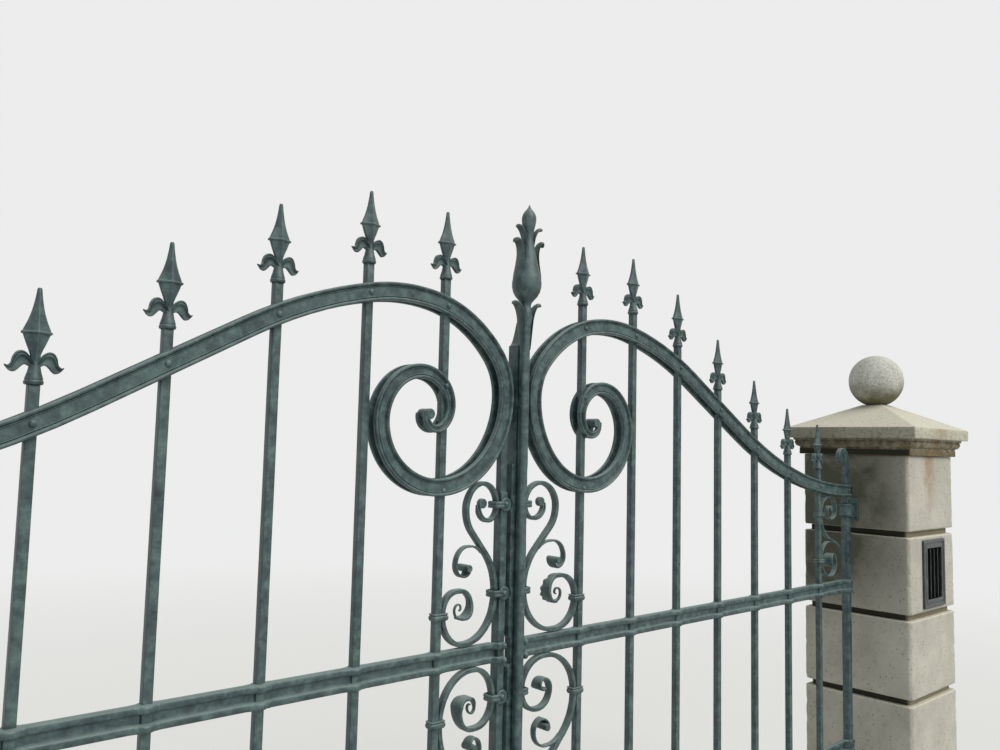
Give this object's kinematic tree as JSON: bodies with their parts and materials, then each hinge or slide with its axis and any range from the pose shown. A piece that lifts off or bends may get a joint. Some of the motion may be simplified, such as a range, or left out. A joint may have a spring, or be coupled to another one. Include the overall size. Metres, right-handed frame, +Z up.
{
  "type": "double driveway gate",
  "caption": "Wrought iron driveway gate: a pair of hinged leaves with a swept top band ending in volutes, spear finials and scrolls, hung between square stone pillars with ball caps.",
  "frame": {"origin": "middle of the left pillar's foot, on the ground", "axes": "+X along the closed gate from the left pillar to the right one as seen from the street, +Y from the street towards the drive, +Z up"},
  "size_m": [4.026, 0.456, 2.1381],
  "materials": {
    "painted_iron": "satin blue-grey paint over wrought iron, worn pale on the edges",
    "dark_iron": "dark painted cast iron",
    "cast_stone": "weathered grey-beige cast stone with pits and stains",
    "speckled_stone": "matt speckled stone, green with age on the underside"
  },
  "bodies": {
    "pillars": {"left_pillar": "cast_stone", "right_pillar": "cast_stone", "left_cap": "cast_stone", "right_cap": "cast_stone", "left_ball": "speckled_stone", "right_ball": "speckled_stone", "letter_plate": "dark_iron", "left_top_hinge": "painted_iron", "left_low_hinge": "painted_iron", "right_top_hinge": "painted_iron", "right_low_hinge": "painted_iron"},
    "left_leaf": {"left_hinge_stile": "painted_iron", "left_meeting_stile": "painted_iron", "left_bars": "painted_iron", "left_finials": "painted_iron", "left_arch_front": "painted_iron", "left_arch_back": "painted_iron", "left_upper_rail": "painted_iron", "left_middle_rail": "painted_iron", "left_bottom_rail": "painted_iron", "left_scroll_bars": "painted_iron", "left_scroll_coils": "painted_iron", "left_collars": "painted_iron", "left_washers": "painted_iron"},
    "right_leaf": {"right_hinge_stile": "painted_iron", "right_meeting_stile": "painted_iron", "right_bars": "painted_iron", "right_finials": "painted_iron", "right_arch_front": "painted_iron", "right_arch_back": "painted_iron", "right_upper_rail": "painted_iron", "right_middle_rail": "painted_iron", "right_bottom_rail": "painted_iron", "right_scroll_bars": "painted_iron", "right_scroll_coils": "painted_iron", "right_collars": "painted_iron", "cover_plate": "painted_iron", "cover_post": "painted_iron", "bud_finial": "painted_iron"}
  },
  "joints": [
    {"name": "left_hinge", "type": "hinge", "parent": "pillars", "child": "left_leaf", "pos_m": [0.245, 0, 0.3], "axis": [0, 0, 1], "range_deg": [0, 90]},
    {"name": "right_hinge", "type": "hinge", "parent": "pillars", "child": "right_leaf", "pos_m": [3.325, 0, 0.3], "axis": [0, 0, -1], "range_deg": [0, 90]}
  ]
}
